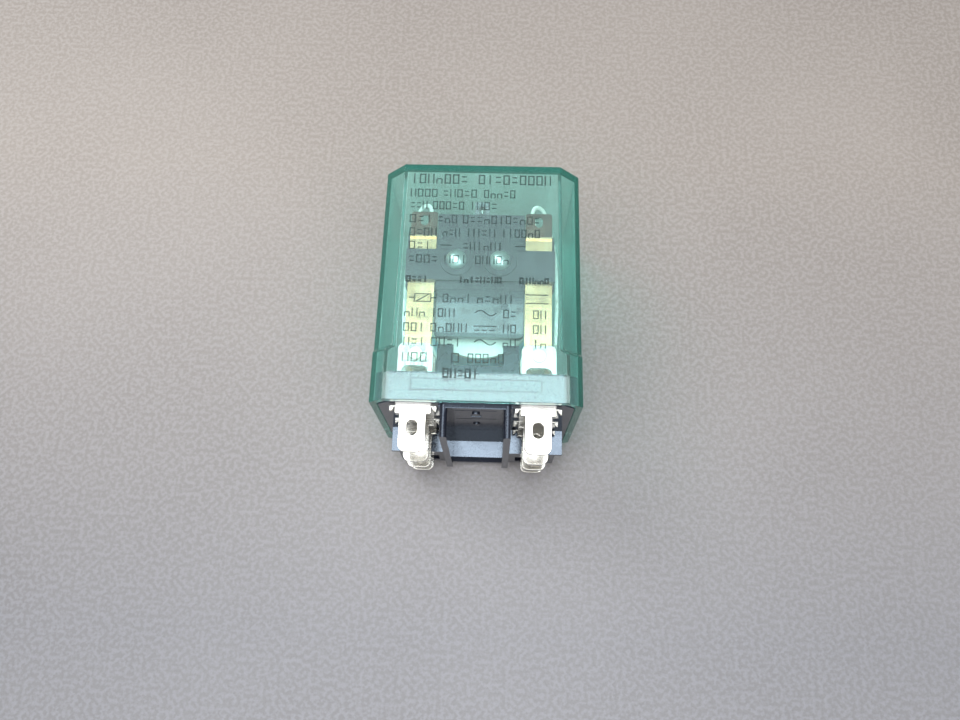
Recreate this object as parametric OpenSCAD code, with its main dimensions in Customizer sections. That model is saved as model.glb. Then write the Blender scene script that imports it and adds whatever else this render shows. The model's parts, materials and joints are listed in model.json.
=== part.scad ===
// Plug-in relay with a clear cover, two changeover contacts and quick-connect blades.
// X runs to the right, Y towards the closed end of the cover, Z up from the back wall.
// The modules measure Y from just below the cover's rim; place() centres the whole part.

/* [Cover] */
// Width of the cover across its open rim
cover_w = 38.9; // [34:0.1:46]
// Depth of the cover, back wall to front wall, at the rim
cover_d = 35.6; // [32:0.1:42]
// Height of the cover from the rim to the closed end
cover_h = 48.4; // [47.6:0.1:60]
// Wall thickness of the cover
cover_wall = 1.4; // [1:0.1:2]
// Reach of the flats cut on the four long edges
edge_flat = 3.8; // [3:0.1:5]
// Reach of the smaller flats next to the rim
rim_flat = 2.5; // [1.5:0.1:2.7]
// Height above the rim where the larger flats begin
edge_flat_start = 10.9; // [8:0.1:16]
// Draft angle of the side and front walls
draft = 0.49; // [0.1:0.01:1]

/* [Base] */
// Height of the base wall inside the cover
base_wall_h = 6.1; // [5:0.1:8]
// Thickness of the base floor
base_floor = 2.8; // [2:0.1:3]
// Distance from the centre to each underside rib
rib_x = 5.8; // [5.6:0.1:6]
// Depth of the underside ribs below the rim
rib_drop = 5.6; // [4:0.1:7]

/* [Terminals] */
// Distance from the centre to each column of blades
column_x = 11.4; // [11:0.1:12]
// Width of a quick-connect blade
blade_w = 4.8; // [4.5:0.05:5.2]
// Thickness of a blade
blade_t = 0.8; // [0.5:0.05:0.85]
// Reach of the blades below the rim
blade_drop = 8.3; // [7:0.1:10]
// Width of the shoulder above a blade
shoulder_w = 6.5; // [6:0.1:6.5]

/* [Contacts] */
// Height of the contact points above the rim
contact_y = 10; // [9.8:0.1:10.2]
// Radius of the contact heads
contact_r = 1.6; // [1.2:0.05:1.8]
// Width of the spring contact arms
arm_w = 5.2; // [4:0.1:5.6]

/* [Magnet] */
// Radius of the coil former flanges
flange_r = 11.4; // [9:0.1:11.6]
// Height of the coil axis above the rim
coil_y = 23.7; // [23.4:0.1:24.2]
// Radius of the iron core
core_r = 4; // [3:0.1:4.2]
// Width of the armature plate
armature_w = 17.4; // [15:0.1:17.6]
// Turns in the return spring
spring_turns = 12; // [6:1:16]

/* [Hidden] */
y_shift = -(cover_h - blade_drop) / 2;
rim_y = 0.45;
z_front = cover_d - cover_wall;
cavity_w = cover_w - 2 * cover_wall;
base_w = cavity_w - 0.2;
base_z0 = cover_wall + 0.05;
base_z1 = z_front - 0.15;
floor_y = 0.4;
floor_top = floor_y + base_floor;
row_nc = 32.3;
row_no = 22.6;
row_com = 14.8;
row_coil = 6.2;
half_t = blade_t / 2;
arm_z = 29.8;
arm_t = 0.4;
lug_z = 29.4;
plate_z0 = 25.42;
plate_z1 = 27;
hinge_y = 37.8;
rivet_x = 4.2;
rivet_shift = -0.4;
rivet_y = 29.4;
spring_y = 42.6;
spring_r = 1.5;
$fn = 48;

module place() {
  translate([0, y_shift, 0]) children();
}

module slab(x, y, z) {
  translate([x[0], y[0], z[0]])
    cube([x[1] - x[0], y[1] - y[0], z[1] - z[0]]);
}

module both_sides() {
  children();
  mirror([1, 0, 0]) children();
}

module left_side() {
  mirror([1, 0, 0]) children();
}

// A cylinder along Z from z0 to z1
module peg(x, y, z0, z1, r) {
  translate([x, y, z0]) cylinder(h = z1 - z0, r = r);
}

// A cylinder along Y from y0 to y1
module post(x, y0, y1, z, r) {
  translate([x, y0, z]) rotate([-90, 0, 0]) cylinder(h = y1 - y0, r = r);
}

// Sweeps a round wire of radius r through the points of path
module wire(path, r, first_side) {
  n = len(path);
  sides = 10;
  function dir(i) =
    let (a = path[max(i - 1, 0)], b = path[min(i + 1, n - 1)])
    (b - a) / norm(b - a);
  function carry(i, s) =
    let (v = s - (s * dir(i)) * dir(i), u = v / norm(v))
    i == n - 1 ? [u] : concat([u], carry(i + 1, u));
  across = carry(0, first_side);
  points = [
    for (i = [0 : n - 1])
      let (s = across[i], t = cross(s, dir(i)))
        for (k = [0 : sides - 1])
          path[i] + r * (cos(360 * k / sides) * s + sin(360 * k / sides) * t)
  ];
  walls = [
    for (i = [0 : n - 2])
      for (k = [0 : sides - 1])
        [i * sides + k, i * sides + (k + 1) % sides,
         (i + 1) * sides + (k + 1) % sides, (i + 1) * sides + k]
  ];
  first = [for (k = [sides - 1 : -1 : 0]) k];
  last = [for (k = [0 : sides - 1]) (n - 1) * sides + k];
  polyhedron(points = points, faces = concat(walls, [first], [last]), convexity = 8);
}

// Smooth curve through the given points
function blend(p, steps) = [
  for (i = [0 : len(p) - 2])
    for (k = [0 : steps - 1])
      let (
        t = k / steps,
        a = p[max(i - 1, 0)],
        b = p[i],
        c = p[i + 1],
        d = p[min(i + 2, len(p) - 1)]
      )
      0.5 * (2 * b + (c - a) * t + (2 * a - 5 * b + 4 * c - d) * t * t
        + (3 * b - 3 * c + d - a) * t * t * t),
  p[len(p) - 1]
];

// Cuts the flat on one long edge; its local X points out of the corner
module edge_cutter(flat, small) {
  rotate([0, 0, draft * sqrt(2)]) {
    slab([-small / sqrt(2), 8], [-4, cover_h + 8], [-7, 7]);
    difference() {
      slab([-flat / sqrt(2), 8], [0, cover_h + 8], [-7, 7]);
      translate([-flat / sqrt(2), edge_flat_start, -8])
        rotate([0, 0, -45])
          slab([-30, 30], [-40, 0], [0, 16]);
    }
  }
}

// Drafted block with flats on its long edges
module cover_block(w, y0, h, z0, z1, flat, small) {
  difference() {
    slab([-w / 2, w / 2], [y0, h], [z0, z1]);
    both_sides()
      translate([w / 2, 0, 0])
        rotate([0, 0, draft])
          slab([0, 6], [-20, h + 20], [-5, z1 + 5]);
    translate([0, 0, z1])
      rotate([-draft, 0, 0])
        slab([-w, w], [-20, h + 20], [0, 6]);
    both_sides() {
      translate([w / 2, 0, z1]) rotate([0, -45, 0]) edge_cutter(flat, small);
      translate([w / 2, 0, z0]) rotate([0, 45, 0]) edge_cutter(flat, small);
    }
  }
}

module cover() {
  color([0.2, 0.65, 0.58, 0.6]) place() {
    difference() {
      cover_block(cover_w, rim_y, cover_h, 0, cover_d, edge_flat, rim_flat);
      cover_block(
        cavity_w, -1, cover_h - cover_wall, cover_wall, z_front,
        edge_flat - 0.586 * cover_wall, rim_flat - 0.586 * cover_wall
      );
    }
    slab([-11.8, 11.8], [2.7, 4.8], [z_front - 0.3, z_front + 0.3]);
  }
}

// Block along Y whose four long edges are cut by c
module cut_block(half, y, z, c) {
  difference() {
    slab([-half, half], y, z);
    both_sides() {
      translate([half, 0, z[1]]) rotate([0, -45, 0])
        slab([-c / sqrt(2), 6], [y[0] - 1, y[1] + 1], [-6, 6]);
      translate([half, 0, z[0]]) rotate([0, 45, 0])
        slab([-c / sqrt(2), 6], [y[0] - 1, y[1] + 1], [-6, 6]);
    }
  }
}

module terminal_slot(row) {
  both_sides()
    slab(
      [column_x - shoulder_w / 2 - 0.05, column_x + shoulder_w / 2 + 0.05],
      [-1, floor_top + 1],
      [row - half_t - 0.03, row + half_t + 0.03]
    );
}

// Long underside rib with a round nose, a sloped lower edge and a flared root
module base_rib() {
  difference() {
    union() {
      slab([rib_x - 0.65, rib_x + 0.65], [-rib_drop, floor_y + 1], [3, 32.4]);
      post(rib_x, -rib_drop, floor_y + 1, 32.4, 0.65);
    }
    translate([0, -rib_drop, 33])
      rotate([-1.53, 0, 0])
        slab([0, 12], [-6, 0], [-40, 6]);
  }
  slab([rib_x - 1, rib_x + 1], [-0.1, floor_y + 0.5], [3.4, 32.6]);
}

// Box around one coil blade behind a wider front plate
module coil_guard() {
  difference() {
    slab([rib_x + 0.3, 17.2], [-4.4, floor_y + 1], [12, 13.5]);
    translate([0, 0.4, 13.5])
      rotate([6, 0, 0])
        slab([0, 20], [-8, 0], [0, 3]);
  }
  difference() {
    slab([rib_x + 0.3, 15.9], [-4.2, floor_y + 1], [2.4, 12.4]);
    slab(
      [column_x - 3.5, column_x + 3.5],
      [-5, floor_y],
      [row_coil - 2, row_coil + 2]
    );
  }
}

// Shallow cross grooves and two round mould marks in the channel
module channel_marks() {
  for (z = [31.4, 25.2, 16])
    slab([-3.8, 3.8], [-2, 0.05], [z - 0.16, z + 0.16]);
}

module channel_pips() {
  post(0, -0.55, floor_y, 29.3, 0.75);
  post(0, -0.5, floor_y, 21.2, 0.65);
  slab([-1, 1], [-0.45, floor_y], [26.9, 27.4]);
}

// Rear wall of the channel with a bevelled lower edge
module channel_wall() {
  difference() {
    slab([-rib_x, rib_x], [-4.5, floor_y + 1], [2.2, 4.5]);
    translate([0, 0.2, 4.5])
      rotate([6, 0, 0])
        slab([-10, 10], [-8, 0], [0, 3]);
    translate([0, -3.6, 4.1])
      rotate([-50, 0, 0])
        slab([-10, 10], [-6, 0], [-3, 3]);
  }
}

module base() {
  color([0.1, 0.11, 0.14]) place() {
    difference() {
      union() {
        difference() {
          cut_block(base_w / 2, [floor_y, base_wall_h], [base_z0, base_z1], 2);
          cut_block(
            base_w / 2 - 1.3,
            [floor_top, base_wall_h + 1],
            [base_z0 + 1.3, base_z1 - 1.3],
            1.3
          );
        }
        slab([-7.9, 7.9], [floor_top - 0.5, 9.8], [24.2, 26.4]);
        both_sides() slab([4.8, 7.9], [floor_top, 13.9], [24.2, 26.4]);
        both_sides() slab([-1, 7.9], [floor_top - 0.5, 5.2], [17.6, 18.8]);
        both_sides() base_rib();
        both_sides() coil_guard();
        channel_wall();
        difference() {
          slab([-rib_x, rib_x], [-0.25, floor_y + 1], [4, 33]);
          channel_marks();
        }
        channel_pips();
      }
      terminal_slot(row_nc);
      terminal_slot(row_no);
      terminal_slot(row_com);
      terminal_slot(row_coil);
      slab([-12, 12], [2.5, 5], [base_z1 - 0.3, base_z1 + 1]);
      both_sides() post(5, 0.8, floor_top + 1, 10, 1.22);
    }
  }
}

// Blade, eye and shoulder shared by all eight terminals, centred on x = 0
module blade(row, drop) {
  z0 = row - half_t;
  z1 = row + half_t;
  tip_r = 1.35;
  half = blade_w / 2;
  difference() {
    union() {
      slab([-half, half], [-drop + tip_r, -1], [z0, z1]);
      slab([-half + tip_r, half - tip_r], [-drop, -1], [z0, z1]);
      both_sides() peg(half - tip_r, -drop + tip_r, z0, z1, tip_r);
      slab([-shoulder_w / 2, shoulder_w / 2], [-1.25, floor_top], [z0, z1]);
    }
    slab([-1, 1], [-4.4, -3.4], [z0 - 1, z1 + 1]);
    peg(0, -4.4, z0 - 1, z1 + 1, 1);
    peg(0, -3.4, z0 - 1, z1 + 1, 1);
  }
}

// Small pointed ears bent out beside the shoulder to lock a blade in the base
module lock_ears(row) {
  both_sides()
    translate([0, 0, row - half_t])
      linear_extrude(height = blade_t)
        polygon([
          [shoulder_w / 2 - 0.1, 0.1], [shoulder_w / 2 + 1.05, 0.1],
          [shoulder_w / 2 + 0.95, -0.95], [shoulder_w / 2 + 0.3, -0.4],
          [shoulder_w / 2 + 0.3, -0.1], [shoulder_w / 2 - 0.1, -0.1]
        ]);
}

// Upright tab with rounded upper corners
module tab(w, y0, y1, z0, z1, r) {
  slab([-w / 2, w / 2], [y0, y1 - r], [z0, z1]);
  slab([-w / 2 + r, w / 2 - r], [y0, y1], [z0, z1]);
  both_sides() peg(w / 2 - r, y1 - r, z0, z1, r);
}

module nc_terminal() {
  z0 = row_nc - half_t;
  z1 = row_nc + half_t;
  color([0.86, 0.86, 0.84]) place() translate([column_x, 0, 0]) {
    blade(row_nc, blade_drop);
    lock_ears(row_nc);
    difference() {
      tab(shoulder_w, floor_top, 12, z0, z1, 1.2);
      tab(4.7, 5.2, 7.6, z0 - 1, z1 + 1, 1.1);
      peg(0, contact_y, z0 - 1, z1 + 1, 1.02);
    }
  }
}

module no_terminal() {
  z0 = row_no - half_t;
  color([0.86, 0.86, 0.84]) place() translate([column_x, 0, 0]) {
    blade(row_no, blade_drop);
    lock_ears(row_no);
    slab([-shoulder_w / 2, shoulder_w / 2], [floor_top, 4.8], [z0, z0 + blade_t]);
    slab([-shoulder_w / 2, shoulder_w / 2], [4, 4.8], [z0, 26.4]);
    difference() {
      tab(shoulder_w, 4, 12, 25.6, 26.4, 1.2);
      peg(0, contact_y, 24, 28, 1.02);
    }
  }
}

module common_terminal() {
  z0 = row_com - half_t;
  z1 = row_com + half_t;
  color([0.86, 0.86, 0.84]) place() translate([column_x, 0, 0]) {
    blade(row_com, blade_drop - 0.3);
    lock_ears(row_com);
    slab([-shoulder_w / 2, shoulder_w / 2], [floor_top, 4.6], [z0, z1]);
    tab(4, 4.6, 9.4, z0, z1, 0.8);
  }
}

module coil_terminal() {
  z0 = row_coil - half_t;
  z1 = row_coil + half_t;
  color([0.86, 0.86, 0.84]) place() translate([column_x, 0, 0]) {
    blade(row_coil, blade_drop - 1.3);
    slab([-shoulder_w / 2, shoulder_w / 2], [floor_top, 4.4], [z0, z1]);
    tab(2.6, 4.4, 8, z0, z1, 0.6);
  }
}

module nc_terminal_left() {
  left_side() nc_terminal();
}

module nc_terminal_right() {
  nc_terminal();
}

module no_terminal_left() {
  left_side() no_terminal();
}

module no_terminal_right() {
  no_terminal();
}

module common_terminal_left() {
  left_side() common_terminal();
}

module common_terminal_right() {
  common_terminal();
}

module coil_terminal_left() {
  left_side() coil_terminal();
}

module coil_terminal_right() {
  coil_terminal();
}

// Fixed contact buttons riveted to the outer tabs
module nc_contacts() {
  z0 = row_nc - half_t;
  color([0.82, 0.78, 0.66]) place() both_sides() {
    peg(column_x, contact_y, z0 - 0.8, z0, contact_r);
    peg(column_x, contact_y, z0 - 0.1, z0 + blade_t + 0.3, 1);
    peg(column_x, contact_y, z0 + blade_t, z0 + blade_t + 0.3, 1.3);
  }
}

// Fixed contact buttons riveted to the inner tabs
module no_contacts() {
  color([0.82, 0.78, 0.66]) place() both_sides() {
    peg(column_x, contact_y, 26.4, 27.55, contact_r);
    peg(column_x, contact_y, 25.3, 26.5, 1);
    peg(column_x, contact_y, 25.3, 25.6, 1.3);
  }
}

// Double-faced buttons at the lower ends of the contact arms
module moving_contacts() {
  color([0.85, 0.82, 0.74]) place() both_sides() {
    peg(column_x, contact_y, arm_z + arm_t, arm_z + arm_t + 0.85, contact_r);
    peg(column_x, contact_y, arm_z - 0.85, arm_z, contact_r);
    peg(column_x, contact_y, arm_z - 0.1, arm_z + arm_t + 0.1, 0.9);
  }
}

// Flat brass spring whose top edge is bent forward
module contact_arm() {
  half = arm_w / 2;
  color([0.88, 0.78, 0.45]) place() translate([column_x - 0.1, 0, 0]) {
    difference() {
      union() {
        slab([-half, half], [9.4, 34.95], [arm_z, arm_z + arm_t]);
        slab([-half + 1, half - 1], [8.4, 9.6], [arm_z, arm_z + arm_t]);
        both_sides() peg(half - 1, 9.4, arm_z, arm_z + arm_t, 1);
        slab([-half, half], [34.55, 34.95], [arm_z, arm_z + 0.9]);
      }
      peg(0.1, contact_y, arm_z - 1, arm_z + 1, 0.92);
    }
  }
}

module contact_arm_left() {
  left_side() contact_arm();
}

module contact_arm_right() {
  contact_arm();
}

// Stiff strip behind each arm that carries the flexible lead
module arm_lug() {
  half = arm_w / 2;
  z1 = lug_z + 0.4;
  color([0.55, 0.5, 0.42]) place() translate([column_x - 0.1, 0, 0]) {
    difference() {
      union() {
        slab([-half, half], [26, 39.9], [lug_z, z1]);
        slab([-half + 0.5, half - 0.5], [26, 40.4], [lug_z, z1]);
        both_sides() peg(half - 0.5, 39.9, lug_z, z1, 0.5);
      }
      peg(0, 39, lug_z - 1, z1 + 1, 0.75);
      peg(0, 38.2, lug_z - 1, z1 + 1, 0.75);
      slab([-0.75, 0.75], [38.2, 39], [lug_z - 1, z1 + 1]);
    }
  }
}

module arm_lug_left() {
  left_side() arm_lug();
}

module arm_lug_right() {
  arm_lug();
}

// Moulded insulator that clamps the two arms and rides on the armature
module actuator_block() {
  slot_w = arm_w + 0.04;
  color([0.24, 0.27, 0.3]) place() {
    difference() {
      union() {
        slab([-14.4, 14.4], [24.4, 35.5], [plate_z1, lug_z]);
        slab([-8.5, 8.5], [23.6, 39.6], [plate_z1, 30.6]);
        slab([-14.4, 14.4], [25.3, 31.7], [plate_z1, 31.3]);
        slab([4.2, 5.6], [22.5, 24], [plate_z1, 30.9]);
      }
      both_sides()
        slab(
          [column_x - 0.1 - slot_w / 2, column_x - 0.1 + slot_w / 2],
          [20, 40],
          [lug_z, arm_z + arm_t + 0.02]
        );
      both_sides() slab([5, 7.8], [36.3, 39.7], [plate_z1 - 1, 28.3]);
      for (s = [-1, 1])
        peg(rivet_shift + s * rivet_x, rivet_y, 26, 33, 1.22);
    }
    difference() {
      for (s = [-1, 1])
        peg(rivet_shift + s * rivet_x, rivet_y, 31.2, 31.7, 3.2);
      for (s = [-1, 1])
        peg(rivet_shift + s * rivet_x, rivet_y, 31, 33, 1.22);
    }
  }
}

// Two domed rivets through the block and the armature
module block_rivets() {
  color([0.85, 0.86, 0.86]) place() for (s = [-1, 1]) {
    peg(rivet_shift + s * rivet_x, rivet_y, plate_z0 - 0.2, 31.8, 1.2);
    peg(rivet_shift + s * rivet_x, rivet_y, plate_z0 - 0.6, plate_z0, 1.5);
    intersection() {
      translate([rivet_shift + s * rivet_x, rivet_y, 30.85]) sphere(r = 2.25);
      peg(rivet_shift + s * rivet_x, rivet_y, 31.7, 34, 2.25);
    }
  }
}

// Steel plate pulled to the core; it rocks on the front edge of the yoke
module armature() {
  half = armature_w / 2;
  color([0.55, 0.58, 0.6]) place() {
    difference() {
      union() {
        tab(armature_w, 20, 40.8, plate_z0, plate_z1, 1.5);
        slab([-half, half], [16.3, 21], [plate_z0, plate_z1]);
        slab([-half + 1, half - 1], [15.3, 17], [plate_z0, plate_z1]);
        both_sides() peg(half - 1, 16.3, plate_z0, plate_z1, 1);
        slab([-1.5, 1.5], [40, 44.2], [plate_z0, plate_z1]);
      }
      both_sides() slab([5.2, 7.6], [36.6, 39], [plate_z0 - 1, plate_z1 + 1]);
      for (s = [-1, 1])
        peg(rivet_shift + s * rivet_x, rivet_y, plate_z0 - 1, plate_z1 + 1, 1.22);
      peg(0, spring_y, plate_z0 - 1, plate_z1 + 1, 0.7);
    }
  }
}

// Thin brass stop that keeps the armature from sticking to the core
module anti_stick_pad() {
  color([0.85, 0.72, 0.35]) place()
    peg(0, coil_y, plate_z0 - 0.15, plate_z0, 1.5);
}

// Folded steel frame: foot, back leg and top leg with two hinge lugs
module yoke() {
  color([0.62, 0.63, 0.62]) place() {
    difference() {
      union() {
        slab([-8.5, 8.5], [floor_top, 38.8], [3, 5]);
        slab([-8.5, 8.5], [36.8, 38.8], [3, 25.3]);
        slab([-7.8, 7.8], [floor_top, 4.8], [3, 15]);
        both_sides() slab([5.4, 7.4], [36.9, 38.7], [25, 27.6]);
      }
      peg(0, coil_y, 2, 6, core_r + 0.02);
      post(0, 36, 40, 10.2, 1.02);
      both_sides() post(5, 3, 5, 10, 1.25);
    }
  }
}

// Two screws that hold the yoke to the base
module base_screws() {
  color([0.75, 0.74, 0.68]) place() both_sides() difference() {
    union() {
      post(5, 1, 4.9, 10, 1.2);
      post(5, 4.8, 6.2, 10, 2.1);
    }
    slab([4.7, 5.3], [5.5, 7], [7, 13]);
  }
}

// Iron core with a wide pole face, staked to the yoke
module core() {
  color([0.66, 0.67, 0.68]) place() {
    peg(0, coil_y, 2.6, 23.4, core_r);
    peg(0, coil_y, 23.2, 24.45, core_r + 1.1);
    peg(0, coil_y, 2.3, 3, core_r + 0.7);
  }
}

// Moulded coil former with two round flanges
module bobbin() {
  color([0.86, 0.9, 0.86]) place() difference() {
    union() {
      peg(0, coil_y, 5, 6.3, flange_r);
      peg(0, coil_y, 5, 23.1, core_r + 0.9);
      peg(0, coil_y, 21.8, 23.1, flange_r);
    }
    peg(0, coil_y, 4, 24, core_r + 0.04);
  }
}

module winding() {
  color([0.72, 0.4, 0.2]) place() difference() {
    peg(0, coil_y, 6.35, 21.75, flange_r - 0.8);
    peg(0, coil_y, 5, 23, core_r + 0.94);
  }
}

// Insulating tape wrapped over the winding
module coil_tape() {
  color([0.35, 0.6, 0.85]) place() difference() {
    peg(0, coil_y, 6.4, 21.7, flange_r - 0.5);
    peg(0, coil_y, 5, 23, flange_r - 0.78);
  }
}

// Wire from the winding to its blade
module coil_lead() {
  path = blend([
    [3.4, 12.9, 8.2], [5.6, 11.6, 7.6], [8.2, 9.6, 7.2],
    [10.2, 7.6, 6.98], [11.4, 6.4, 6.95], [12.3, 5.6, 6.95]
  ], 5);
  color([0.8, 0.3, 0.2]) place() wire(path, 0.3, [0.1, 0, 1]);
}

module coil_lead_left() {
  left_side() coil_lead();
}

module coil_lead_right() {
  coil_lead();
}

// Bent steel bracket that anchors the return spring
module spring_bracket() {
  color([0.68, 0.68, 0.66]) place() difference() {
    union() {
      slab([-3, 3], [38.8, 39.6], [6.8, 12.6]);
      slab([-3, 3], [38.8, 44.6], [6.8, 7.6]);
    }
    peg(0, spring_y, 6, 9, 0.7);
    post(0, 38, 40, 10.2, 1.02);
  }
}

module bracket_rivet() {
  color([0.8, 0.8, 0.78]) place() {
    post(0, 36.4, 40, 10.2, 1);
    post(0, 36.2, 36.8, 10.2, 1.8);
    post(0, 39.6, 40.2, 10.2, 1.8);
  }
}

// Extension spring along Z with straight hooked ends
module return_spring() {
  z0 = 8.6;
  z1 = 24.4;
  steps = spring_turns * 14;
  coil = [
    for (i = [0 : steps])
      let (
        a = 360 * i / 14,
        r = spring_r * min(1, (i + 2) / 14, (steps - i + 2) / 14)
      )
        [r * sin(a), spring_y + r * cos(a), z0 + (z1 - z0) * i / steps]
  ];
  path = concat(
    [[0, 41.2, 6.25], [0, 41.8, 6.1], [0, 42.4, 6.35], [0, 42.6, 7.1], [0, 42.65, 7.9]],
    coil,
    [[0, 42.65, 25.1], [0, 42.6, 26.2], [0, 42.5, 27.3], [0, 42, 27.8], [0, 41.3, 27.6]]
  );
  color([0.78, 0.78, 0.76]) place() wire(path, 0.25, [1, 0, 0.1]);
}

// Flexible braid from the lug over the top and down to the common blade
module pigtail() {
  path = blend([
    [10.4, 37, 28.8], [10.35, 38.6, 28.75], [10.2, 40.2, 28.7],
    [10.1, 41.2, 28.6], [10.5, 42.2, 28.5], [11.3, 42.55, 28.2],
    [12.2, 42.1, 27.7], [12.9, 40.8, 26.8], [13.7, 38.6, 25.4],
    [14.9, 34.4, 22.8], [15.6, 27, 19], [15.5, 18, 17],
    [14.8, 12.6, 16.2], [13.2, 9.6, 15.85], [11.6, 7.6, 15.8]
  ], 5);
  color([0.85, 0.62, 0.45]) place() wire(path, 0.42, [1, 0, 0]);
}

module pigtail_left() {
  left_side() pigtail();
}

module pigtail_right() {
  pigtail();
}

cover();
base();
nc_terminal_left();
nc_terminal_right();
no_terminal_left();
no_terminal_right();
common_terminal_left();
common_terminal_right();
coil_terminal_left();
coil_terminal_right();
nc_contacts();
no_contacts();
moving_contacts();
contact_arm_left();
contact_arm_right();
arm_lug_left();
arm_lug_right();
actuator_block();
block_rivets();
armature();
anti_stick_pad();
yoke();
base_screws();
core();
bobbin();
winding();
coil_tape();
coil_lead_left();
coil_lead_right();
spring_bracket();
bracket_rivet();
return_spring();
pigtail_left();
pigtail_right();
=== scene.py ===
"""Looks of a plug-in relay with a clear green cover, lying on its back.

Everything is in metres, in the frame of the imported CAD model. The CAD pieces keep their
places: each visible piece is the CAD shape with rounded edges, or is rebuilt where it lies.
"""

import json
import math
import random

import bmesh
import bpy
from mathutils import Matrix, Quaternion, Vector


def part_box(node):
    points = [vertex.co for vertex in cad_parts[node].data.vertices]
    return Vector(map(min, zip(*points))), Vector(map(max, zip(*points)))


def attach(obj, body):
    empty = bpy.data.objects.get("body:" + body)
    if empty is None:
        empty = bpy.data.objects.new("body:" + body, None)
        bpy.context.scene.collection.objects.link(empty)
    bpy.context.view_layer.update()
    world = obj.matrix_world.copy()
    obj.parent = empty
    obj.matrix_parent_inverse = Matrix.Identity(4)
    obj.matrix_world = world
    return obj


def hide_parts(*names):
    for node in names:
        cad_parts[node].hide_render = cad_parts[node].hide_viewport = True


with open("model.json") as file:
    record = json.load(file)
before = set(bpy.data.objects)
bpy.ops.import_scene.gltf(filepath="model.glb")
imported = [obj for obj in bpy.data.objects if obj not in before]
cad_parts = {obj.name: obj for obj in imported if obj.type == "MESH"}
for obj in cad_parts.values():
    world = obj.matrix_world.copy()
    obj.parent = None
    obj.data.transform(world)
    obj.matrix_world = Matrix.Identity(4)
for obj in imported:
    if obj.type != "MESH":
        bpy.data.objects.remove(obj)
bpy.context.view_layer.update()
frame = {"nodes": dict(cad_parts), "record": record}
NODES = frame["nodes"]
RECORD = frame["record"]
MM = 0.001
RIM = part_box("cover")[0][1] - 0.45 * MM  # Y that the millimetres below are measured from
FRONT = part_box("cover")[1][2]  # Z of the cover's front wall at the rim
DRAFT = math.tan(math.radians(0.49))
BODY_OF = {n: b for b, names in RECORD["behaviour"]["bodies"].items() for n in names}
SLOT_OF = {s["node"]: s["material_slot"] for s in RECORD["subparts"]}


def at(x, y, z):
    """A point given in millimetres, with Y from RIM."""
    return Vector((x * MM, RIM + y * MM, z * MM))


# ---------------------------------------------------------------- materials


class Graph:
    """A material's node tree with short calls to add and join nodes."""

    def __init__(self, name):
        self.mat = bpy.data.materials.new(name)
        self.mat.use_nodes = True
        self.tree = self.mat.node_tree
        self.tree.nodes.clear()
        self.out = self.tree.nodes.new("ShaderNodeOutputMaterial")
        self.coords = self.tree.nodes.new("ShaderNodeTexCoord").outputs["Object"]

    def add(self, kind, inputs=None, **settings):
        node = self.tree.nodes.new("ShaderNode" + kind)
        for key, value in settings.items():
            setattr(node, key, value)
        for key, value in (inputs or {}).items():
            if isinstance(value, bpy.types.NodeSocket):
                self.tree.links.new(value, node.inputs[key])
            else:
                node.inputs[key].default_value = value
        return node

    def noise(self, scale, detail=3.0, stretch=(1, 1, 1), rough=0.5):
        mapped = self.add("Mapping", {"Vector": self.coords, "Scale": stretch})
        return self.add(
            "TexNoise",
            {
                "Vector": mapped.outputs[0],
                "Scale": scale,
                "Detail": detail,
                "Roughness": rough,
            },
        ).outputs["Fac"]

    def ramp(self, fac, low, high, a=0.3, b=0.7):
        node = self.add("ValToRGB", {"Fac": fac})
        node.color_ramp.elements[0].position = a
        node.color_ramp.elements[1].position = b
        node.color_ramp.elements[0].color = (*low, 1)
        node.color_ramp.elements[1].color = (*high, 1)
        return node.outputs["Color"]

    def span(self, value, low, high, a=0.3, b=0.7):
        return self.add(
            "MapRange",
            {"Value": value, "From Min": a, "From Max": b, "To Min": low, "To Max": high},
        ).outputs["Result"]

    def math(self, kind, a, b=0.0):
        return self.add("Math", {0: a, 1: b}, operation=kind).outputs[0]

    def mix(self, fac, a, b, blend="MIX"):
        node = self.add("Mix", data_type="RGBA", blend_type=blend)
        for index, value in ((0, fac), (6, a), (7, b)):
            if isinstance(value, bpy.types.NodeSocket):
                self.tree.links.new(value, node.inputs[index])
            elif index == 0:
                node.inputs[index].default_value = value
            else:
                node.inputs[index].default_value = (*value, 1)
        return node.outputs[2]

    def bump(self, height, strength, distance):
        return self.add(
            "Bump", {"Height": height, "Strength": strength, "Distance": distance * MM}
        ).outputs["Normal"]

    def done(self, shader):
        self.tree.links.new(shader.outputs[0], self.out.inputs["Surface"])
        return self.mat


# How far a metal's grain is stretched on each axis.
ACROSS = (0.05, 1, 1)
ALONG = (1, 0.04, 1)
EVEN = (1, 1, 1)


def metal(name, light, dark, rough, grain, stretch, bump=0.02):
    """Metal with a drawn or rolled grain, dull patches and fine scratches."""
    g = Graph(name)
    patches = g.noise(260, 4)
    lines = g.noise(grain, 3, stretch)
    scratch = g.noise(5200, 2, (stretch[1], stretch[0], stretch[2]))
    colour = g.mix(
        g.span(lines, 0, 0.35), g.ramp(patches, dark, light, 0.32, 0.6), dark, "MULTIPLY"
    )
    roughness = g.math(
        "ADD", g.span(patches, rough[0], rough[1]), g.span(scratch, -0.04, 0.06)
    )
    shader = g.add(
        "BsdfPrincipled",
        {
            "Base Color": colour,
            "Metallic": 1.0,
            "Roughness": roughness,
            "Normal": g.bump(lines, 0.35, bump),
        },
    )
    return g.done(shader)


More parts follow.
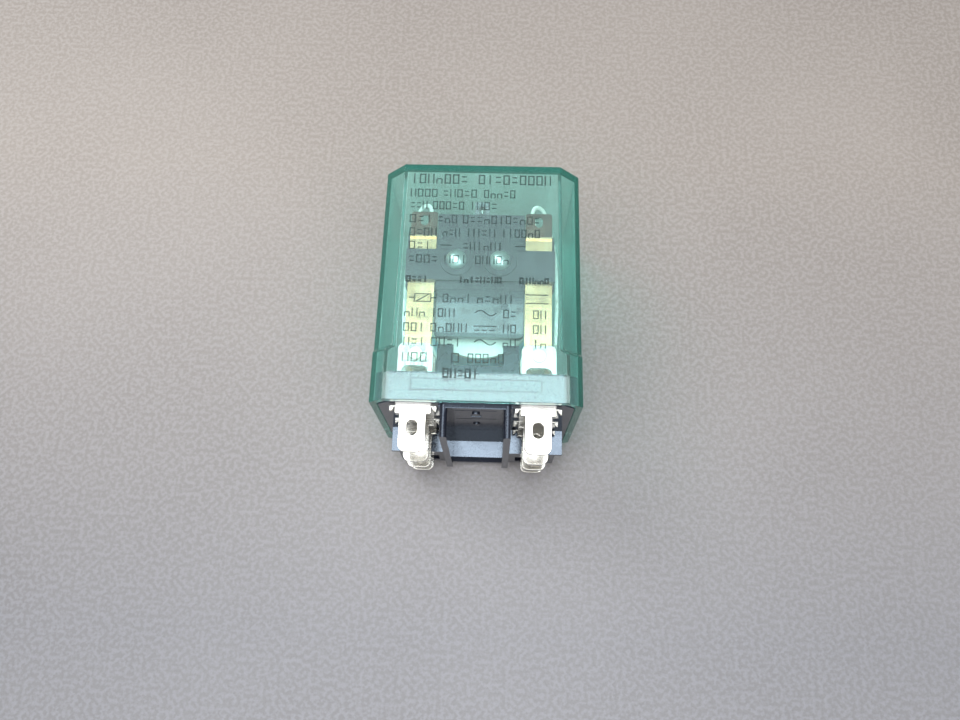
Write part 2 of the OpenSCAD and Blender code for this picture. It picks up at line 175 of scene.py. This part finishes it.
def armature_iron_painted_shade():
    """Zinc-plated iron with painted shade: a dark band along its punched lower edge."""
    g = Graph("zinc_on_iron")
    patches = g.noise(260, 4)
    lines = g.noise(1200, 3, ACROSS)
    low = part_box("armature")[0][1]
    waver = g.span(lines, -0.08 * MM, 0.08 * MM)
    height = g.math("ADD", g.add("SeparateXYZ", {"Vector": g.coords}).outputs["Y"], waver)
    # Painted shade: a dark band along the armature's lower edge stands in for the shade that falls
    # below it.
    painted_shade_band = g.span(height, 1.0, 0.0, low + 0.75 * MM, low + 1.05 * MM)
    plated = g.ramp(patches, (0.34, 0.34, 0.39), (0.43, 0.43, 0.48), 0.32, 0.6)
    roughness = g.math("ADD", g.span(patches, 0.1, 0.16), g.math("MULTIPLY", painted_shade_band, 0.2))
    shader = g.add(
        "BsdfPrincipled",
        {
            "Base Color": g.mix(painted_shade_band, plated, (0.10, 0.11, 0.12)),
            "Metallic": 1.0,
            "Roughness": roughness,
            "Normal": g.bump(lines, 0.35, 0.02),
        },
    )
    return g.done(shader)


def plastic(
    name,
    light,
    dark,
    rough,
    grain,
    bump=0.02,
    subsurface=0.0,
    spec=0.5,
    dusty=0.25,
    gloss=(1, 1, 1),
):
    """Moulded plastic with slight colour drift, a fine skin, dust and uneven gloss."""
    g = Graph(name)
    drift = g.noise(180, 4)
    skin = g.noise(grain, 3)
    dust = g.noise(1500, 5, rough=0.7)
    colour = g.mix(
        g.span(dust, 0, dusty, 0.5, 0.8), g.ramp(drift, dark, light), (0.6, 0.6, 0.58)
    )
    roughness = g.math("ADD", g.span(drift, rough[0], rough[1]), g.span(dust, -0.03, 0.08))
    shader = g.add(
        "BsdfPrincipled",
        {
            "Base Color": colour,
            "Roughness": roughness,
            "Specular IOR Level": spec,
            "Specular Tint": (*gloss, 1),
            "Subsurface Weight": subsurface,
            "Subsurface Radius": (MM, MM, MM),
            "Normal": g.bump(skin, 0.4, bump),
        },
    )
    return g.done(shader)


WAVE_SCALE = 0.314  # a wave texture of this scale repeats about once per metre


def banded(name, light, dark, pitch, rough, metallic, bump):
    """Wire or tape laid side by side along Z, as on a coil."""
    g = Graph(name)
    wave = g.add(
        "TexWave",
        {"Vector": g.coords, "Scale": WAVE_SCALE / (pitch * MM), "Distortion": 0.4},
        wave_type="BANDS",
        bands_direction="Z",
    ).outputs["Fac"]
    drift = g.noise(220, 3)
    colour = g.mix(g.span(wave, 0, 1, 0, 0.6), dark, g.ramp(drift, dark, light, 0.1, 0.6))
    shader = g.add(
        "BsdfPrincipled",
        {
            "Base Color": colour,
            "Metallic": metallic,
            "Roughness": g.span(drift, rough[0], rough[1]),
            "Normal": g.bump(wave, 0.6, bump),
        },
    )
    return g.done(shader)


# Where the cover's look changes, each from and to a distance in millimetres.
RIM_BAND = (5.2, 6.6)  # above RIM: the pale band of painted glare ends
FRONT_SKIN = (2.2, 1.2)  # behind the front face: the front wall begins
SIDE_WALL = (16.6, 18.4)  # from the middle plane: the corners and sides begin
END_WALL = (46.4, 47.0)  # above RIM: the closed end begins


def cover_material():
    """Clear green moulding: deeper in its corners and closed end, with a pale band of painted glare
    by the rim.
    """
    g = Graph("cover_green")
    swirl = g.noise(70, 2)
    fine = g.noise(2600, 3, rough=0.6)
    scuff = g.noise(900, 4, (1, 0.08, 1), 0.7)
    roughness = g.math(
        "ADD", g.span(fine, 0.01, 0.03), g.span(scuff, 0.0, 0.06, 0.62, 0.8)
    )
    tint = g.mix(g.span(swirl, 0, 0.5), (0.93, 0.99, 0.975), (0.885, 0.975, 0.955))
    glass = g.add(
        "BsdfPrincipled",
        {
            "Base Color": tint,
            "Roughness": roughness,
            "IOR": 1.52,
            "Transmission Weight": 1.0,
            "Normal": g.bump(fine, 0.05, 0.01),
        },
    )
    haze_and_painted_glare = g.add(
        "BsdfPrincipled",
        {"Base Color": (0.5, 0.78, 0.74, 1), "Roughness": 0.45, "Specular IOR Level": 0.5},
    )
    place = g.add("SeparateXYZ", {"Vector": g.coords}).outputs
    # Painted glare: a pale whitish layer on the front wall near the rim stands in for lamp glare;
    # scuffs add a faint layer all over.
    rim = g.span(place["Y"], 0.08, 0.0, *(RIM + y * MM for y in RIM_BAND))
    front = g.span(place["Z"], 0, 1, *(FRONT - z * MM for z in FRONT_SKIN))
    painted_rim_glare = g.math("MULTIPLY", g.math("MULTIPLY", rim, front), g.span(scuff, 0.4, 1.4))
    scuff_haze_and_painted_glare = g.math("MAXIMUM", painted_rim_glare, g.span(scuff, 0.035, 0.085, 0.5, 0.8))
    glass_haze_and_glare = g.add("MixShader", {0: scuff_haze_and_painted_glare, 1: glass.outputs[0], 2: haze_and_painted_glare.outputs[0]})
    deep = g.add(
        "BsdfPrincipled",
        {"Base Color": (0.01, 0.33, 0.26, 1), "Roughness": 0.2, "Specular IOR Level": 0.5},
    )
    across = g.math("ABSOLUTE", place["X"])
    corners = g.span(across, 0.0, 0.13, *(x * MM for x in SIDE_WALL))
    end = g.span(place["Y"], 0.0, 0.13, *(RIM + y * MM for y in END_WALL))
    thick = g.math("MAXIMUM", corners, end)
    body = g.add("MixShader", {0: thick, 1: glass_haze_and_glare.outputs[0], 2: deep.outputs[0]})
    lamp = g.add("LightPath").outputs["Is Shadow Ray"]
    clear = g.add("BsdfTransparent", {"Color": (0.93, 0.97, 0.96, 1)})
    whole = g.add("MixShader", {0: lamp, 1: body.outputs[0], 2: clear.outputs[0]})
    depth = g.add("VolumeAbsorption", {"Color": (0.0, 0.87, 0.80, 1), "Density": 145.0})
    g.tree.links.new(depth.outputs[0], g.out.inputs["Volume"])
    return g.done(whole)


def ink_material():
    """Thin grey print, uneven where it was pressed on."""
    g = Graph("printed_ink")
    patch = g.noise(1400, 4, rough=0.7)
    ink = g.add(
        "BsdfPrincipled",
        {
            "Base Color": g.ramp(patch, (0.008, 0.03, 0.028), (0.02, 0.05, 0.048)),
            "Roughness": g.span(patch, 0.45, 0.7),
        },
    )
    gap = g.add("BsdfTransparent")
    cover = g.span(patch, 0.4, 0.66)
    return g.done(g.add("MixShader", {0: cover, 1: gap.outputs[0], 2: ink.outputs[0]}))


MATERIALS = {
    "cover_plastic": cover_material(),
    "base_plastic": plastic(
        "base_black",
        (0.014, 0.016, 0.026),
        (0.009, 0.010, 0.017),
        (0.08, 0.14),
        2400,
        bump=0.0012,
        spec=0.7,
        dusty=0.02,
        gloss=(0.72, 0.85, 1.0),
    ),
    "block_plastic": plastic(
        "block_grey",
        (0.05, 0.042, 0.055),
        (0.03, 0.026, 0.035),
        (0.28, 0.42),
        1800,
        bump=0.03,
        spec=0.3,
        dusty=0.1,
    ),
    "tinned_brass": metal(
        "tin_plate", (0.76, 0.74, 0.69), (0.66, 0.64, 0.59), (0.18, 0.26), 1500, ALONG, 0.004
    ),
    "spring_brass": metal(
        "rolled_brass", (1.0, 0.71, 0.46), (0.93, 0.65, 0.40), (0.16, 0.24), 1600, ALONG
    ),
    "silver_contact": metal(
        "silver_alloy", (0.93, 0.90, 0.84), (0.72, 0.66, 0.55), (0.3, 0.5), 1400, EVEN
    ),
    # Painted shade: the lugs' copper is made very dark to stand in for the shade they sit in.
    "lug_copper": metal(
        "copper_with_painted_shade", (0.17, 0.10, 0.08), (0.09, 0.05, 0.04), (0.3, 0.42), 1500, ALONG
    ),
    "rivet_steel": metal(
        "nickel", (0.86, 0.87, 0.87), (0.74, 0.75, 0.75), (0.27, 0.34), 1800, EVEN
    ),
    "soft_iron": metal(
        "zinc_on_iron", (0.56, 0.57, 0.61), (0.44, 0.45, 0.49), (0.1, 0.16), 1200, ACROSS
    ),
    "zinc_steel": metal(
        "zinc_plate", (0.72, 0.73, 0.72), (0.54, 0.55, 0.54), (0.3, 0.46), 1300, ACROSS
    ),
    "nylon": plastic(
        "natural_nylon", (0.90, 0.92, 0.86), (0.80, 0.84, 0.79), (0.4, 0.55), 1500, 0.02, 0.15
    ),
    "magnet_wire": banded(
        "enamelled_wire", (0.72, 0.34, 0.13), (0.28, 0.10, 0.04), 0.14, (0.2, 0.34), 0.85, 0.05
    ),
    # Painted light: the tape's blue is made pale and bright to stand in for light that hardly
    # reaches it.
    "blue_tape": banded(
        "blue_tape", (0.62, 0.88, 1.0), (0.48, 0.76, 0.96), 5.2, (0.22, 0.36), 0.0, 0.02
    ),
    "lead_sleeve": plastic(
        "red_sleeve", (0.55, 0.06, 0.04), (0.36, 0.03, 0.02), (0.35, 0.5), 2600, 0.02
    ),
    "spring_wire": metal(
        "music_wire", (0.70, 0.70, 0.69), (0.48, 0.48, 0.47), (0.2, 0.32), 2200, ALONG
    ),
    "copper_braid": metal(
        "tinned_braid", (0.95, 0.95, 0.92), (0.74, 0.72, 0.66), (0.26, 0.42), 3000, EVEN
    ),
    "pad_brass": metal(
        "thin_brass", (0.80, 0.64, 0.30), (0.62, 0.48, 0.2), (0.3, 0.42), 1800, EVEN
    ),
    "ink": ink_material(),
    "armature_iron_painted_shade": armature_iron_painted_shade(),
}
OWN_MATERIAL = {"armature": "armature_iron_painted_shade"}  # nodes that look different from their slot

# ---------------------------------------------------------------- meshes


def publish(name, mesh, node, smooth_angle=38, material=None, replace=True):
    """Makes the mesh a piece that stands for a CAD node and rides with its body."""
    for poly in mesh.polygons:
        poly.use_smooth = True
    mesh.set_sharp_from_angle(angle=math.radians(smooth_angle))
    obj = bpy.data.objects.new(name, mesh)
    bpy.context.scene.collection.objects.link(obj)
    mesh.materials.append(MATERIALS[material or OWN_MATERIAL.get(node, SLOT_OF[node])])
    if replace:
        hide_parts(node)
    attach(obj, BODY_OF[node])
    return obj


def weighted(obj):
    """Keeps the flat faces flat beside the rounded edges."""
    mod = obj.modifiers.new("flat_faces", "WEIGHTED_NORMAL")
    mod.keep_sharp = True
    mod.weight = 90
    return obj


def soften(bm, width, segments, pick, angle=28):
    """Rounds the sharp edges that pick accepts to width, in millimetres."""
    limit = math.radians(angle)
    sharp = [e for e in bm.edges if e.is_manifold and e.calc_face_angle() > limit and pick(e)]
    bmesh.ops.bevel(
        bm,
        geom=sharp,
        offset=width * MM,
        segments=segments,
        profile=0.5,
        affect="EDGES",
        clamp_overlap=True,
        loop_slide=True,
    )


def rounded(node, width, segments=2, closed_end=0.0):
    """The CAD node's shape with its sharp edges rounded; closed_end for its +Y edges."""
    bm = bmesh.new()
    bm.from_mesh(NODES[node].data)
    bmesh.ops.remove_doubles(bm, verts=bm.verts, dist=1e-7)
    bmesh.ops.dissolve_limit(bm, angle_limit=0.01, verts=bm.verts, edges=bm.edges)
    if closed_end:
        end = max(v.co.y for v in bm.verts) - 0.01 * MM
        soften(bm, closed_end, 5, lambda e: min(v.co.y for v in e.verts) > end)
    soften(bm, width, segments, lambda e: True)
    mesh = bpy.data.meshes.new("vis_" + node)
    bm.to_mesh(mesh)
    bm.free()
    return weighted(publish("vis_" + node, mesh, node))


def curve_points(points, steps):
    """A smooth curve through the points, as in the CAD source."""
    pts = [Vector(p) for p in points]
    out = []
    for i in range(len(pts) - 1):
        a, b = pts[max(i - 1, 0)], pts[i]
        c, d = pts[i + 1], pts[min(i + 2, len(pts) - 1)]
        for k in range(steps):
            t = k / steps
            out.append(
                0.5
                * (
                    2 * b
                    + (c - a) * t
                    + (2 * a - 5 * b + 4 * c - d) * t * t
                    + (3 * b - 3 * c + d - a) * t**3
                )
            )
    return out + [pts[-1]]


def frames_along(path, side):
    """(point, across, up) at each point, carried along without twist."""
    out = []
    for i, p in enumerate(path):
        step = (path[min(i + 1, len(path) - 1)] - path[max(i - 1, 0)]).normalized()
        side = (side - side.dot(step) * step).normalized()
        out.append((p, side, side.cross(step)))
    return out


def tube(bm, frames, radius, sides, offset=0.0, turn=0.0, twist=0.0):
    """Adds a tube; with offset, it winds round the path by twist radians a point."""
    rings = []
    for i, (p, s, t) in enumerate(frames):
        a = turn + twist * i
        centre = p + offset * (math.cos(a) * s + math.sin(a) * t)
        ring = []
        for k in range(sides):
            b = 2 * math.pi * k / sides
            v = centre + radius * (math.cos(b) * s + math.sin(b) * t)
            ring.append(bm.verts.new(at(*v)))
        rings.append(ring)
    for a, b in zip(rings, rings[1:]):
        for k in range(sides):
            bm.faces.new((a[k], a[(k + 1) % sides], b[(k + 1) % sides], b[k]))
    bm.faces.new(rings[0][::-1])
    bm.faces.new(rings[-1])
    bmesh.ops.recalc_face_normals(bm, faces=bm.faces)


def mesh_from(bm, name):
    mesh = bpy.data.meshes.new(name)
    bm.to_mesh(mesh)
    bm.free()
    return mesh


def mirrored(points, side):
    return [(side * x, y, z) for x, y, z in points]


BRAID_PATH = [
    (10.4, 37, 28.8), (10.35, 38.6, 28.75), (10.2, 40.2, 28.7), (10.1, 41.2, 28.6),
    (10.5, 42.2, 28.5), (11.3, 42.55, 28.2), (12.2, 42.1, 27.7), (12.9, 40.8, 26.8),
    (13.7, 38.6, 25.4), (14.9, 34.4, 22.8), (15.6, 27, 19), (15.5, 18, 17),
    (14.8, 12.6, 16.2), (13.2, 9.6, 15.85), (11.6, 7.6, 15.8),
]  # fmt: skip
LEAD_PATH = [
    (3.4, 12.9, 8.2), (5.6, 11.6, 7.6), (8.2, 9.6, 7.2),
    (10.2, 7.6, 6.98), (11.4, 6.4, 6.95), (12.3, 5.6, 6.95),
]  # fmt: skip


def braid(node, side):
    """A rope of fine strands wound both ways round a core."""
    path = curve_points(mirrored(BRAID_PATH, side), 10)
    frames = frames_along(path, Vector((1, 0, 0)))
    bm = bmesh.new()
    tube(bm, frames, 0.24, 10)
    for k in range(6):
        turn = 2 * math.pi * k / 6
        tube(bm, frames, 0.11, 6, 0.28, turn, 0.36)
        tube(bm, frames, 0.1, 6, 0.31, turn + 0.4, -0.36)
    publish("vis_" + node, mesh_from(bm, node), node, 60)


def lead(node, side):
    """A sleeved wire that runs to the blade."""
    path = curve_points(mirrored(LEAD_PATH, side), 8)
    frames = frames_along(path, Vector((0.1, 0, 1)))
    bm = bmesh.new()
    tube(bm, frames, 0.3, 12)
    publish("vis_" + node, mesh_from(bm, node), node, 60)


def spring(node):
    """Close-wound extension spring with a hook through each anchor."""
    turns, z0, z1, y, widest = 12, 8.6, 24.4, 42.6, 1.5
    per = 28
    last = turns * per
    coil = []
    for i in range(last + 1):
        a = 2 * math.pi * i / per
        r = widest * min(1, (i + 4) / per, (last - i + 4) / per)
        coil.append((r * math.sin(a), y + r * math.cos(a), z0 + (z1 - z0) * i / last))
    back = [(0, 41.2, 6.25), (0, 41.8, 6.1), (0, 42.4, 6.35), (0, 42.6, 7.1), (0, 42.65, 7.9)]
    ahead = [
        (0, 42.65, 25.1), (0, 42.6, 26.2), (0, 42.5, 27.3), (0, 42, 27.8), (0, 41.3, 27.6)
    ]  # fmt: skip
    path = curve_points(back, 4) + [Vector(p) for p in coil] + curve_points(ahead, 4)
    bm = bmesh.new()
    tube(bm, frames_along(path, Vector((1, 0, 0.1))), 0.25, 10)
    publish("vis_" + node, mesh_from(bm, node), node, 60)


# ---------------------------------------------------------------- printed marks


def front_z(y):
    return FRONT / MM - y * DRAFT


class Print:
    """Ink strokes on the front wall, each a thin closed bar that follows its slope."""

    LIFT = 0.012

    def __init__(self):
        self.bm = bmesh.new()

    def stroke(self, x0, y0, x1, y1, w):
        d = Vector((x1 - x0, y1 - y0))
        n = Vector((-d.y, d.x)).normalized() * (w / 2)
        corners = [(x0 + n.x, y0 + n.y), (x0 - n.x, y0 - n.y)]
        corners += [(x1 - n.x, y1 - n.y), (x1 + n.x, y1 + n.y)]
        low = [self.bm.verts.new(at(x, y, front_z(y) - 0.004)) for x, y in corners]
        top = [self.bm.verts.new(at(x, y, front_z(y) + self.LIFT)) for x, y in corners]
        self.bm.faces.new(top)
        self.bm.faces.new(low[::-1])
        for i in range(4):
            j = (i + 1) % 4
            self.bm.faces.new((low[i], low[j], top[j], top[i]))

    def word(self, rng, x0, x1, y, h, w):
        """A row of empty boxes and bars in place of a word."""
        pitch = h * 0.78
        n = max(1, round((x1 - x0) / pitch))
        pitch = (x1 - x0) / n
        for i in range(n):
            a = x0 + i * pitch
            b = a + pitch * 0.62
            kind = rng.choice(("box", "box", "post", "pair", "dashes", "low"))
            low, mid, top = y - h / 2, y, y + h / 2
            if kind in ("box", "pair"):
                self.stroke(a, low, a, top, w)
                self.stroke(b, low, b, top, w)
            if kind == "box":
                self.stroke(a, top - w / 2, b, top - w / 2, w)
                self.stroke(a, low + w / 2, b, low + w / 2, w)
            if kind == "post":
                self.stroke((a + b) / 2, low, (a + b) / 2, top, w)
            if kind == "dashes":
                self.stroke(a, mid + h * 0.25, b, mid + h * 0.25, w)
                self.stroke(a, mid - h * 0.25, b, mid - h * 0.25, w)
            if kind == "low":
                self.stroke(a, low, a, mid, w)
                self.stroke(b, low, b, mid, w)
                self.stroke(a, mid, b, mid, w)

    def wave(self, x0, x1, y, h, w):
        steps = 14
        for i in range(steps):
            xs = [x0 + (x1 - x0) * k / steps for k in (i, i + 1.15)]
            ys = [y + h * math.sin(2 * math.pi * (x - x0) / (x1 - x0)) for x in xs]
            self.stroke(xs[0], ys[0], xs[1], ys[1], w)

    def direct(self, x0, x1, y, gap, w):
        """The direct-current sign: a line over three dashes."""
        self.stroke(x0, y + gap / 2, x1, y + gap / 2, w)
        third = (x1 - x0) / 3
        for k in range(3):
            a = x0 + third * (k + 0.08)
            self.stroke(a, y - gap / 2, a + third * 0.7, y - gap / 2, w)

    def coil_sign(self, x0, x1, y, h, w):
        self.stroke(x0 - 1.1, y, x0, y, w)
        self.stroke(x1, y, x1 + 1.1, y, w)
        for s in (-1, 1):
            self.stroke(x0 - w / 2, y + s * h / 2, x1 + w / 2, y + s * h / 2, w)
        for x in (x0, x1):
            self.stroke(x, y - h / 2, x, y + h / 2, w)
        self.stroke(x0 + 0.3, y - h / 2, x1 - 0.3, y + h / 2, w)


def printed_marks():
    rng = random.Random(7)
    p = Print()
    fine, bold = 0.23, 0.34
    rows = (
        (45.05, 2.1, fine + 0.04, ((-13.7, -2.4), (-0.6, 13.8))),
        (41.95, 1.75, fine, ((-13.7, -8.2), (-7.4, -0.6), (0.5, 6.8))),
        (39.3, 1.75, fine, ((-13.6, -10.1), (-9.3, -3), (-2.2, 3.4))),
        (36.4, 1.75, fine, ((-13.6, -8.9), (-8.2, -4.2), (-3.4, 11.6))),
        (33.6, 1.75, fine, ((-13.5, -8), (-7.2, -3.6), (-2.8, 3.2), (4, 11.6))),
        (30.8, 1.7, fine, ((-13.4, -9), (-3.2, 4.6))),
        (28.0, 1.7, fine, ((-13.4, -7.6), (-6.6, -2), (-0.8, 5.8))),
        (23.9, 1.3, bold, ((-13.6, -9.4), (-3.8, 4.4), (7.6, 13.2))),
        (20.1, 1.7, fine, ((-6.6, -1), (-0.2, 7),)),
        (17.2, 1.7, fine, ((-13.6, -9.4), (-8.6, -3.6), (4.7, 7.4), (10.2, 12.9))),
        (14.3, 1.7, fine, ((-13.6, -9.4), (-8.6, -1.6), (4.7, 7.4), (10.2, 12.9))),
        (11.5, 1.7, fine, ((-13.4, -9.2), (-8.4, -2.6), (4.7, 7.4), (10.2, 12.9))),
        (8.5, 1.8, fine, ((-13.5, -8.6), (-4.6, -2.6), (-1.6, 5.3))),
        (5.6, 1.9, bold, ((-6.0, 0.7),)),
    )
    for y, h, w, words in rows:
        for x0, x1 in words:
            p.word(rng, x0, x1, y, h, w)
    p.coil_sign(-11.9, -8.9, 20.1, 1.5, fine)
    for y in (19.4, 21.1):
        p.stroke(8.6, y, 12.9, y, fine)
    p.stroke(-7.6, 30.9, -5.4, 30.9, fine)
    p.stroke(6.6, 30.9, 8.6, 30.9, fine)
    p.wave(-0.6, 3.3, 17.3, 0.5, fine)
    p.direct(-0.8, 3.4, 14.3, 0.8, fine)
    p.wave(-0.6, 3.3, 11.6, 0.5, fine)
    publish("printed_marks", mesh_from(p.bm, "printed_marks"), "cover", 20, "ink", False)


# ---------------------------------------------------------------- the pieces

ROUNDING = {
    "cover": (0.4, 3),
    "base": (0.12, 2),
    "actuator_block": (0.16, 2),
    "armature": (0.12, 2),
    "yoke": (0.15, 2),
    "core": (0.12, 2),
    "bobbin": (0.12, 2),
    "base_screws": (0.1, 2),
    "spring_bracket": (0.1, 2),
    "winding": (0.08, 2),
    "coil_tape": (0.03, 1),
    "nc_contacts": (0.12, 2),
    "no_contacts": (0.12, 2),
    "moving_contacts": (0.12, 2),
    "contact_arm_left": (0.06, 2),
    "contact_arm_right": (0.06, 2),
    "arm_lug_left": (0.06, 2),
    "arm_lug_right": (0.06, 2),
    "block_rivets": (0.06, 2),
    "bracket_rivet": (0.12, 2),
    "anti_stick_pad": (0.03, 1),
}
for kind in ("nc", "no", "common", "coil"):
    for side in ("left", "right"):
        ROUNDING[f"{kind}_terminal_{side}"] = (0.13, 2)

for node, (width, segments) in ROUNDING.items():
    rounded(node, width, segments, 0.6 if node == "cover" else 0.0)
for name, side in (("left", -1), ("right", 1)):
    braid("pigtail_" + name, side)
    lead("coil_lead_" + name, side)
spring("return_spring")
printed_marks()

# ---------------------------------------------------------------- floor, lights, camera


def floor():
    """A pale grainy table top, with painted shade making it cooler and darker towards the camera.
    """
    g = Graph("floor")
    cells = g.noise(1150, 2, rough=0.4)
    grain = g.noise(2600, 4, rough=0.65)
    cloud = g.noise(12, 3)
    tone = g.mix(g.span(cloud, 0, 1), (0.26, 0.228, 0.205), (0.305, 0.27, 0.243))
    tone = g.mix(g.span(cells, 0, 0.5, 0.42, 0.6), tone, (0.39, 0.355, 0.335))
    tone = g.mix(g.span(grain, 0, 0.3, 0.45, 0.7), tone, (0.20, 0.18, 0.165))
    place = g.add("SeparateXYZ", {"Vector": g.coords}).outputs
    # Painted shade: cooler and darker towards the camera.
    tone = g.mix(
        g.span(place["Y"], 1, 0, -0.06, 0.05), tone, (0.67, 0.74, 0.86), "MULTIPLY"
    )
    shader = g.add(
        "BsdfPrincipled",
        {
            "Base Color": tone,
            "Roughness": g.span(grain, 0.42, 0.6),
            "Normal": g.bump(cells, 0.5, 0.18),
        },
    )
    mesh = bpy.data.meshes.new("floor")
    s = 3.0
    mesh.from_pydata([(-s, -s, 0), (s, -s, 0), (s, s, 0), (-s, s, 0)], [], [(0, 1, 2, 3)])
    obj = bpy.data.objects.new("floor", mesh)
    bpy.context.scene.collection.objects.link(obj)
    mesh.materials.append(g.done(shader))


def lamp(name, place, target, size, watts, colour=(1, 1, 1)):
    light = bpy.data.lights.new(name, "AREA")
    light.shape = "RECTANGLE"
    light.size, light.size_y = size
    light.energy = watts
    light.color = colour
    obj = bpy.data.objects.new(name, light)
    bpy.context.scene.collection.objects.link(obj)
    obj.location = place
    obj.rotation_euler = (Vector(target) - Vector(place)).to_track_quat("-Z", "Y").to_euler()


floor()
# The bright panel mirrors in the blades and in the front wall near the rim, the low one in
# the sloping faces of the base, the dim one in the armature and the arms, and the near one
# in the lower half of the rivet domes.
lamp("bright_panel", (-0.012, 0.105, 0.6), (-0.012, 0.105, 0), (0.24, 0.115), 0.52, (0.93, 0.97, 1))
lamp("low_panel", (-0.012, -0.025, 0.6), (-0.012, -0.025, 0), (0.24, 0.13), 1.3, (0.9, 0.95, 1))
lamp("dim_panel", (-0.012, 0.265, 0.6), (-0.012, 0.265, 0), (0.24, 0.21), 0.13, (1, 0.97, 0.93))
lamp("near_panel", (-0.012, -0.25, 0.52), (0, 0, 0.02), (0.9, 0.36), 3.6, (0.97, 0.985, 1))
lamp("soft_left", (-0.5, 0.38, 0.7), (0, 0, 0), (0.4, 0.4), 3.2, (1, 0.985, 0.96))

world = bpy.data.worlds.new("studio")
bpy.context.scene.world = world
world.use_nodes = True
world.node_tree.nodes["Background"].inputs[0].default_value = (0.98, 0.99, 1.0, 1)
world.node_tree.nodes["Background"].inputs[1].default_value = 0.28

cam = bpy.data.cameras.new("camera")
cam.sensor_width = 36
cam.lens = 31.2
cam.clip_start = 0.005
camera = bpy.data.objects.new("camera", cam)
bpy.context.scene.collection.objects.link(camera)
camera.location = at(3.56, -36.78, 179.05)
camera.rotation_mode = "QUATERNION"
tilt = Vector((17.411, 0.915, 1.541))
camera.rotation_quaternion = Quaternion(tilt.normalized(), math.radians(tilt.length))
bpy.context.scene.camera = camera
bpy.context.scene.view_settings.view_transform = "Standard"
